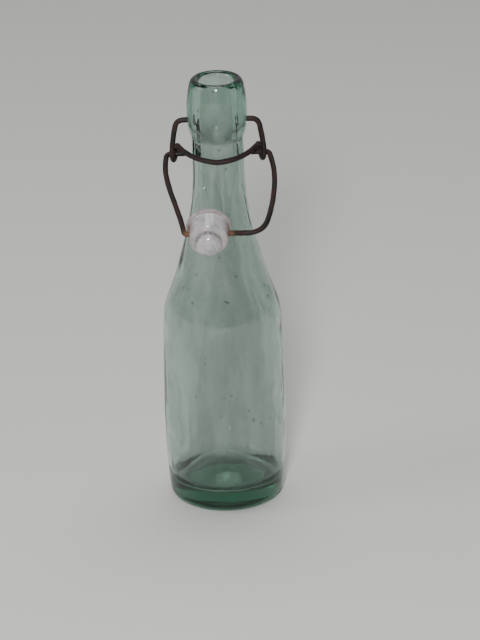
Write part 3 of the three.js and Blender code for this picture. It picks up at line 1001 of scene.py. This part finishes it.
def surroundings(stage):
    """A pale wall behind the bottle, a dim room on the camera's side and a dark ceiling."""
    world = bpy.data.worlds.new("surroundings")
    world.use_nodes = True
    tree = world.node_tree
    facing = tree.nodes.new("ShaderNodeSeparateXYZ")
    feed(tree, facing.inputs["Vector"], tree.nodes.new("ShaderNodeTexCoord").outputs["Generated"])
    behind = ranged(tree, facing.outputs["Y"], -0.1, 0.6)
    around = mixed(tree, behind, stage.room_tint, stage.wall_tint)
    overhead = ranged(tree, facing.outputs["Z"], 0.72, 0.96)
    colour = mixed(tree, overhead, around, stage.ceiling_tint)
    feed(tree, tree.nodes["Background"].inputs["Color"], colour)
    return world


def soft_box(stage, name):
    """A round soft light that points at the bottle, with the settings of its name."""
    light = bpy.data.lights.new(name, "AREA")
    light.shape = "DISK"
    light.size = getattr(stage, f"{name}_size")
    light.energy = getattr(stage, f"{name}_power")
    lamp = bpy.data.objects.new(name, light)
    lamp.location = getattr(stage, f"{name}_place")
    aim = Vector((0.0, 0.0, stage.lit_height)) - lamp.location
    lamp.rotation_euler = aim.to_track_quat("-Z", "Y").to_euler()
    bpy.context.scene.collection.objects.link(lamp)


def photo_camera(stage):
    """The camera of the photograph: it looks down at the aim point and leans by the roll."""
    aim = Vector((stage.aim_side, 0.0, stage.aim_height))
    back = Vector((0.0, -math.cos(stage.elevation), math.sin(stage.elevation)))
    data = bpy.data.cameras.new("photo_camera")
    data.lens = data.sensor_width * stage.focal_pixels / PHOTO_HEIGHT
    data.clip_start = 0.01
    data.clip_end = 50.0
    camera = bpy.data.objects.new("photo_camera", data)
    camera.location = aim + back * stage.distance
    level = (-back).to_track_quat("-Z", "Y").to_matrix().to_4x4()
    camera.rotation_euler = (level @ Matrix.Rotation(-stage.roll, 4, "Z")).to_euler()
    bpy.context.scene.collection.objects.link(camera)
    bpy.context.scene.camera = camera


# Operators

class BOTTLE_OT_stage(bpy.types.Operator):
    """Lay the floor, hang the lights and set the camera"""
    bl_idname = "bottle.stage"
    bl_label = "Stage"

    def execute(self, context):
        stage = context.scene.bottle_stage
        floor = floor_surface(stage.floor_reach)
        floor.data.materials.append(pale_floor(stage))
        context.scene.world = surroundings(stage)
        for name in LIGHTS:
            soft_box(stage, name)
        photo_camera(stage)
        return {"FINISHED"}


class BOTTLE_OT_glass(bpy.types.Operator):
    """Make the glass bottle"""
    bl_idname = "bottle.glass"
    bl_label = "Glass bottle"

    def execute(self, context):
        glass = context.scene.bottle_glass
        piece = glass_surface(glass, context.scene.bottle_wire)
        dress(piece, green_glass(glass), "bottle", "bottle_glass")
        return {"FINISHED"}


class BOTTLE_OT_closure_wire(bpy.types.Operator):
    """Make the lever and the bail"""
    bl_idname = "bottle.closure_wire"
    bl_label = "Closure wire"

    def execute(self, context):
        wire, stopper = context.scene.bottle_wire, context.scene.bottle_stopper
        lever_line = lever_path(wire, context.scene.bottle_glass)
        lever = wire_surface("lever", lever_line, wire, LEVER_SEED)
        bail = wire_surface("bail", bail_path(wire, stopper), wire, BAIL_SEED)
        x, _, z = (points_of(bail) - HOLE).T
        away = np.hypot(np.abs(x) - stopper.radius, z)
        paint(bail, "rubbed", 1.0 - smooth_step(*RUBBED_REACH, away))
        paint(lever, "rubbed", np.zeros(len(lever.data.vertices)))
        iron = rusted_iron(wire)
        dress(lever, iron, "lever", "lever_wire")
        dress(bail, iron, "bail", "stopper_bail")
        return {"FINISHED"}


class BOTTLE_OT_stopper(bpy.types.Operator):
    """Make the porcelain stopper and its gasket"""
    bl_idname = "bottle.stopper"
    bl_label = "Stopper and gasket"

    def execute(self, context):
        stopper = context.scene.bottle_stopper
        head = porcelain_surface(stopper, context.scene.bottle_wire)
        dress(head, glazed_porcelain(stopper), "stopper", "porcelain_stopper")
        ring = gasket_surface(stopper)
        dress(ring, aged_rubber(stopper), "stopper", "rubber_gasket")
        return {"FINISHED"}


OPERATORS = (BOTTLE_OT_stage, BOTTLE_OT_glass, BOTTLE_OT_closure_wire, BOTTLE_OT_stopper)


class BOTTLE_PT_sidebar(bpy.types.Panel):
    """Lists the settings and the steps in the 3D view's sidebar"""
    bl_label = "Swing-top bottle"
    bl_idname = "BOTTLE_PT_sidebar"
    bl_space_type = "VIEW_3D"
    bl_region_type = "UI"
    bl_category = "Bottle"

    def draw(self, context):
        for operator in OPERATORS:
            self.layout.operator(operator.bl_idname)
        for name, group in SETTINGS.items():
            box = self.layout.box()
            box.label(text=group.__doc__)
            for field in group.__annotations__:
                box.prop(getattr(context.scene, name), field)


def register():
    """Registers the settings, the operators and the panel."""
    for name, group in SETTINGS.items():
        bpy.utils.register_class(group)
        setattr(bpy.types.Scene, name, PointerProperty(type=group))
    for item in (*OPERATORS, BOTTLE_PT_sidebar):
        bpy.utils.register_class(item)


def unregister():
    """Takes away what register added."""
    for item in (BOTTLE_PT_sidebar, *reversed(OPERATORS)):
        bpy.utils.unregister_class(item)
    for name, group in SETTINGS.items():
        delattr(bpy.types.Scene, name)
        bpy.utils.unregister_class(group)


def main():
    """Builds the bottle and its stage."""
    register()
    bpy.ops.bottle.stage()
    bpy.ops.bottle.glass()
    bpy.ops.bottle.closure_wire()
    bpy.ops.bottle.stopper()
    bpy.context.view_layer.update()


if __name__ == "__main__":
    main()
